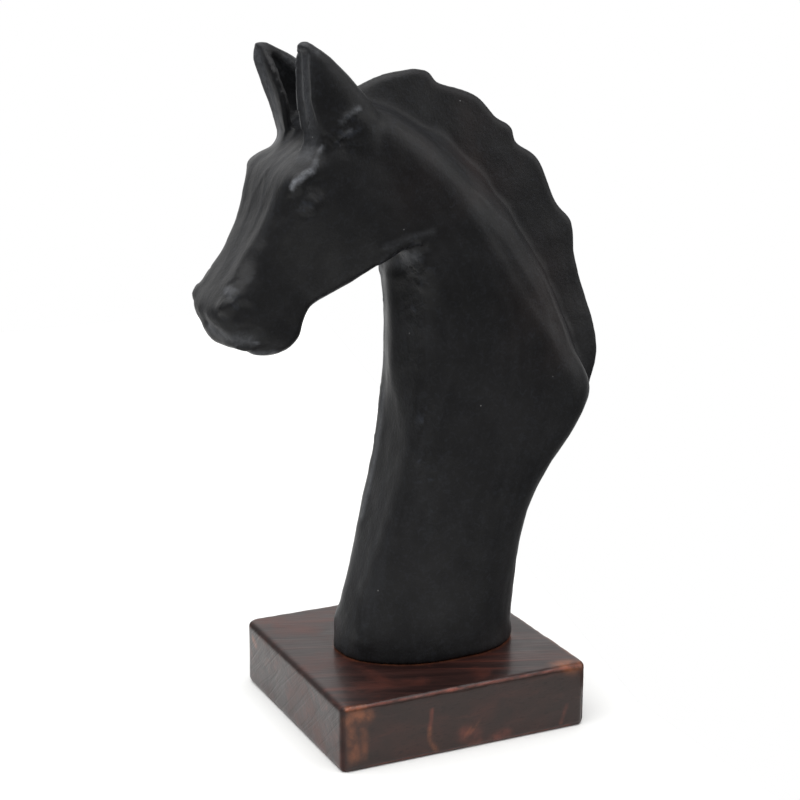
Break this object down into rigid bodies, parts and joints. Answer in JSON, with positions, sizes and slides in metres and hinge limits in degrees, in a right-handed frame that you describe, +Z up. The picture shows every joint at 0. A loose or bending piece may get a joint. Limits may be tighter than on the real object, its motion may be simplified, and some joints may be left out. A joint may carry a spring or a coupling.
{
  "type": "papier-mache horse head",
  "caption": "Table ornament: a papier-mache horse head with a long flat-sided neck and a scalloped mane, on a low square wooden block.",
  "frame": {"origin": "middle of the block's underside", "axes": "+Z up the neck, the horse faces -Y, its left side is +X"},
  "size_m": [0.123, 0.2038, 0.3248],
  "materials": {
    "painted_paper": "papier-mache brushed with matt black paint",
    "varnished_wood": "dark brown stain under glossy varnish, worn to orange at the edges"
  },
  "bodies": {
    "root": {"horse_head": "painted_paper", "wood_block": "varnished_wood"}
  },
  "joints": []
}
